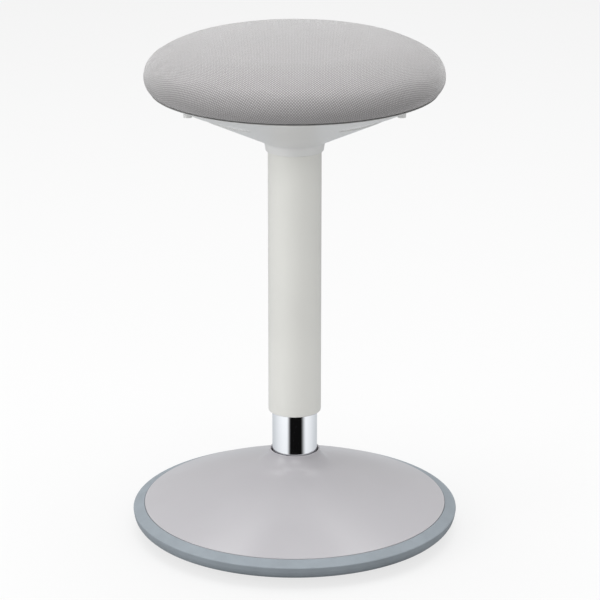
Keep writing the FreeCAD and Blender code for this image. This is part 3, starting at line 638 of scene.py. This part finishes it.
def swell_cover(piece, most):
    """Pressure under the held cover, as the foam pushes it out. No point moves further than most."""
    mesh = piece.data
    start = [v.co.copy() for v in mesh.vertices]
    held = mesh.attributes["held"].data
    group = piece.vertex_groups.new(name="held")
    group.add([i for i, value in enumerate(held) if value.value > 0.5], 1.0, "REPLACE")
    cloth = piece.modifiers.new("swell", "CLOTH")
    cloth.settings.use_pressure = True
    cloth.settings.uniform_pressure_force = SWELL_PRESSURE
    cloth.settings.vertex_group_mass = "held"
    cloth.settings.effector_weights.gravity = 0.0
    cloth.point_cache.frame_end = SWELL_FRAMES
    scene = bpy.context.scene
    for number in range(1, SWELL_FRAMES + 1):
        scene.frame_set(number)
    seen = piece.evaluated_get(bpy.context.evaluated_depsgraph_get())
    swollen = [v.co.copy() for v in seen.data.vertices]
    piece.modifiers.remove(cloth)
    scene.frame_set(1)
    for vert, was, now in zip(mesh.vertices, start, swollen):
        move = now - was
        if move.length > most:
            move *= most / move.length
        vert.co = was + move
    piece.vertex_groups.remove(group)


def soften(piece, depth):
    """The slight unevenness of stretched cloth over foam."""
    for vert, held in zip(piece.data.vertices, piece.data.attributes["held"].data):
        if held.value < 0.5:
            lumps = noise.noise(vert.co * BROAD_LUMPS) + 0.5 * noise.noise(vert.co * FINE_LUMPS)
            vert.co += vert.normal * lumps * depth


class STOOL_OT_cushion(bpy.types.Operator):
    """Makes the upholstered cushion in place of the plain foam and cover"""

    bl_idname = "stool.cushion"
    bl_label = "Upholster the cushion"

    def execute(self, context):
        settings = context.scene.stool_cushion
        cushion = turned_cushion(settings, woven_fabric(settings))
        swell_cover(cushion, settings.swell)
        soften(cushion, LUMP_DEPTH)
        finer = cushion.modifiers.new("finer", "SUBSURF")
        finer.levels = 1
        finer.render_levels = 1
        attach(cushion, "seat")
        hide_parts("fabric_cover", "foam_pad")
        return {"FINISHED"}


class STOOL_OT_seat_shell(bpy.types.Operator):
    """Finishes the seat housing, the release paddles and the sleeve"""

    bl_idname = "stool.seat_shell"
    bl_label = "Finish the seat shell"

    def execute(self, context):
        settings = context.scene.stool_shell
        grain = settings.grain
        housing = moulded_plastic("housing_plastic", settings.housing, 0.34, grain, coat=0.15)
        dress("housing_plastic", housing)
        # The paddles' lighter colour is partly a painted highlight for the lit edges of their pockets
        paddles = moulded_plastic("paddle_plastic", settings.paddles, 0.30, grain, coat=1.0)
        dress_piece("left_paddle", paddles)
        dress_piece("right_paddle", paddles)
        dress("sleeve_plastic", moulded_plastic("sleeve_plastic", settings.sleeve, 0.42, grain))
        dress("button_plastic", moulded_plastic("button_plastic", BUTTON_RED, 0.4, grain))
        dress("bearing_plastic", moulded_plastic("bearing_plastic", BEARING_WHITE, 0.45, grain))
        dress("board_plywood", plywood())
        return {"FINISHED"}


class STOOL_OT_column(bpy.types.Operator):
    """Finishes the chromed tube and the metal parts of the column"""

    bl_idname = "stool.column"
    bl_label = "Finish the column"

    def execute(self, context):
        dress("tube_chrome", chromed_steel(context.scene.stool_column))
        dress("plain_steel", zinc_plated_steel())
        dress("black_steel", painted_steel())
        dress("weight_iron", cast_iron())
        return {"FINISHED"}


class STOOL_OT_base(bpy.types.Operator):
    """Finishes the rocking base: its cover, the rubber sole and the pan"""

    bl_idname = "stool.base"
    bl_label = "Finish the base"

    def execute(self, context):
        settings = context.scene.stool_shell
        grain = settings.grain
        dome = moulded_plastic("dome_plastic", settings.dome, 0.36, grain, DOME_GRAIN_DEPTH, 0.3)
        dress("dome_plastic", dome)
        dress("rim_rubber", rubber("rim_rubber", settings.rim))
        dress("black_rubber", rubber("black_rubber", RUBBER_BLACK, 0.7))
        inner = moulded_plastic("inner_plastic", PLASTIC_BLACK, 0.5, grain, INNER_GRAIN_DEPTH)
        dress("inner_plastic", inner)
        return {"FINISHED"}


# Studio


CAMERA_PLACE = (0.0, -2.9438, 1.2393)
CAMERA_PITCH = 18.276
AXIS_SHIFT = 5.3 / 600
FLOOR_SIZE = 14.0
FLOOR_DROP = 0.2 * MM
# Degrees either side of the camera over which the painted reflection's dark strip turns light
REFLECTION_PAINT_LEFT = (19.6, 41.0)
REFLECTION_PAINT_RIGHT = (30.6, 59.0)
# Painted reflection: how the floor, as reflected rays see it, darkens from the front to the back, and
# between which angles
REFLECTION_PAINT_DARK = (0.004, 0.004, 0.004)
REFLECTION_PAINT_FRONT = (0.80, 0.815, 0.83)
REFLECTION_PAINT_BACK = (0.51, 0.53, 0.55)
REFLECTION_PAINT_TURN = (0.7, 2.6)
# Name, setting of its power, place, aim and size
SOFTBOXES = (
    ("top_softbox", "top_power", (0.0, 0.2, 3.2), (0.0, 0.0, 0.0), (3.0, 3.0)),
    ("left_softbox", "side_power", (-2.6, -1.3, 1.5), (0.0, 0.0, 0.3), (1.6, 2.2)),
    ("front_softbox", "front_power", (0.3, -3.4, 2.2), (0.0, 0.0, 0.3), (2.2, 1.6)),
)


def studio_floor(settings):
    """Pale, with a faint shadow. Bright metal mirrors a painted reflection from it: a dark strip on the
    camera's side, seen only by reflected rays.
    """
    f = Finish("studio_floor")
    x, y, _ = f.axes(f.place())
    # Painted reflection: what reflected rays see of the floor, dark before the camera, light to the
    # sides, darker towards the back
    angle = f.maths("ARCTAN2", x, y * -1.0)
    left = f.ranged(angle * -1.0, *map(math.radians, REFLECTION_PAINT_LEFT), 0.0, 1.0)
    right = f.ranged(angle, *map(math.radians, REFLECTION_PAINT_RIGHT), 0.0, 1.0)
    bright = f.maths("MAXIMUM", left, right)
    turned = f.maths("ABSOLUTE", angle)
    behind = f.ranged(turned, *REFLECTION_PAINT_TURN, 0.0, 1.0)
    light = f.mixed(behind, rgba(REFLECTION_PAINT_FRONT), rgba(REFLECTION_PAINT_BACK))
    rays = f.node("ShaderNodeLightPath").socket.node
    seen = Wire(f, rays.outputs["Is Camera Ray"])
    mirrored = Wire(f, rays.outputs["Is Glossy Ray"])
    shown = f.mixed(bright, rgba(REFLECTION_PAINT_DARK), light)
    bounce = (settings.bounce, settings.bounce, settings.bounce)
    # Reflected rays see the painted reflection, other bounced rays the plain bounce tone
    tone = f.mixed(mirrored, rgba(bounce), shown)
    tone = f.mixed(seen, tone, rgba(settings.floor, 1.0 - settings.glow))
    return f.shaded(
        Base_Color=tone,
        Roughness=0.9,
        Specular_IOR_Level=0.0,
        Emission_Color=f.mixed(seen, rgba((0.0, 0.0, 0.0)), rgba(settings.floor, settings.glow)),
        Emission_Strength=1.0,
    )


def softbox(name, place, aim, size, power):
    light = bpy.data.lights.new(name, "AREA")
    light.shape = "RECTANGLE"
    light.size, light.size_y = size
    light.energy = power
    holder = bpy.data.objects.new(name, light)
    holder.location = place
    holder.rotation_euler = (Vector(aim) - Vector(place)).to_track_quat("-Z", "Y").to_euler()
    bpy.context.scene.collection.objects.link(holder)


class STOOL_OT_studio(bpy.types.Operator):
    """Makes the floor, the soft lights and the camera"""

    bl_idname = "stool.studio"
    bl_label = "Set up the studio"

    def execute(self, context):
        scene = context.scene
        settings = scene.stool_studio
        scene.view_settings.view_transform = "Standard"
        bm = bmesh.new()
        bmesh.ops.create_grid(bm, x_segments=2, y_segments=2, size=FLOOR_SIZE / 2)
        bmesh.ops.translate(bm, verts=bm.verts, vec=(0, 0, CAD_BOX[0][2] - FLOOR_DROP))
        floor = piece_from("studio_floor", bm, studio_floor(settings))
        world = bpy.data.worlds.new("studio_light")
        world.use_nodes = True
        sky = world.node_tree.nodes["Background"]
        sky.inputs["Color"].default_value = (1.0, 1.0, 1.0, 1.0)
        sky.inputs["Strength"].default_value = settings.sky
        scene.world = world
        for name, power, place, aim, size in SOFTBOXES:
            softbox(name, place, aim, size, getattr(settings, power))
        view = bpy.data.cameras.new("camera")
        view.sensor_width = 36.0
        view.lens = settings.lens
        view.shift_x = AXIS_SHIFT
        view.clip_end = 50.0
        camera = bpy.data.objects.new("camera", view)
        camera.location = CAMERA_PLACE
        camera.rotation_euler = (math.radians(90.0 - CAMERA_PITCH), 0.0, 0.0)
        scene.collection.objects.link(camera)
        scene.camera = camera
        return {"FINISHED"}


class STOOL_PT_finish(bpy.types.Panel):
    """The stool's pieces and their settings, in the order in which they are made"""

    bl_label = "Wobble stool"
    bl_idname = "STOOL_PT_finish"
    bl_space_type = "VIEW_3D"
    bl_region_type = "UI"
    bl_category = "Stool"

    def draw(self, context):
        scene = context.scene
        for operator, group in PANEL_ROWS:
            box = self.layout.box()
            box.operator(operator)
            settings = getattr(scene, group)
            for name in settings.__annotations__:
                box.prop(settings, name)


PANEL_ROWS = (
    ("stool.cushion", "stool_cushion"),
    ("stool.seat_shell", "stool_shell"),
    ("stool.column", "stool_column"),
    ("stool.base", "stool_shell"),
    ("stool.studio", "stool_studio"),
)
GROUPS = {
    "stool_cushion": CushionSettings,
    "stool_shell": ShellSettings,
    "stool_column": ColumnSettings,
    "stool_studio": StudioSettings,
}
CLASSES = (
    *GROUPS.values(),
    STOOL_OT_cushion,
    STOOL_OT_seat_shell,
    STOOL_OT_column,
    STOOL_OT_base,
    STOOL_OT_studio,
    STOOL_PT_finish,
)


def register():
    for cls in CLASSES:
        bpy.utils.register_class(cls)
    for name, group in GROUPS.items():
        setattr(bpy.types.Scene, name, bpy.props.PointerProperty(type=group))


def unregister():
    for name in GROUPS:
        delattr(bpy.types.Scene, name)
    for cls in reversed(CLASSES):
        bpy.utils.unregister_class(cls)


def main():
    register()
    bpy.ops.stool.cushion()
    bpy.ops.stool.seat_shell()
    bpy.ops.stool.column()
    bpy.ops.stool.base()
    bpy.ops.stool.studio()


if __name__ == "__main__":
    main()
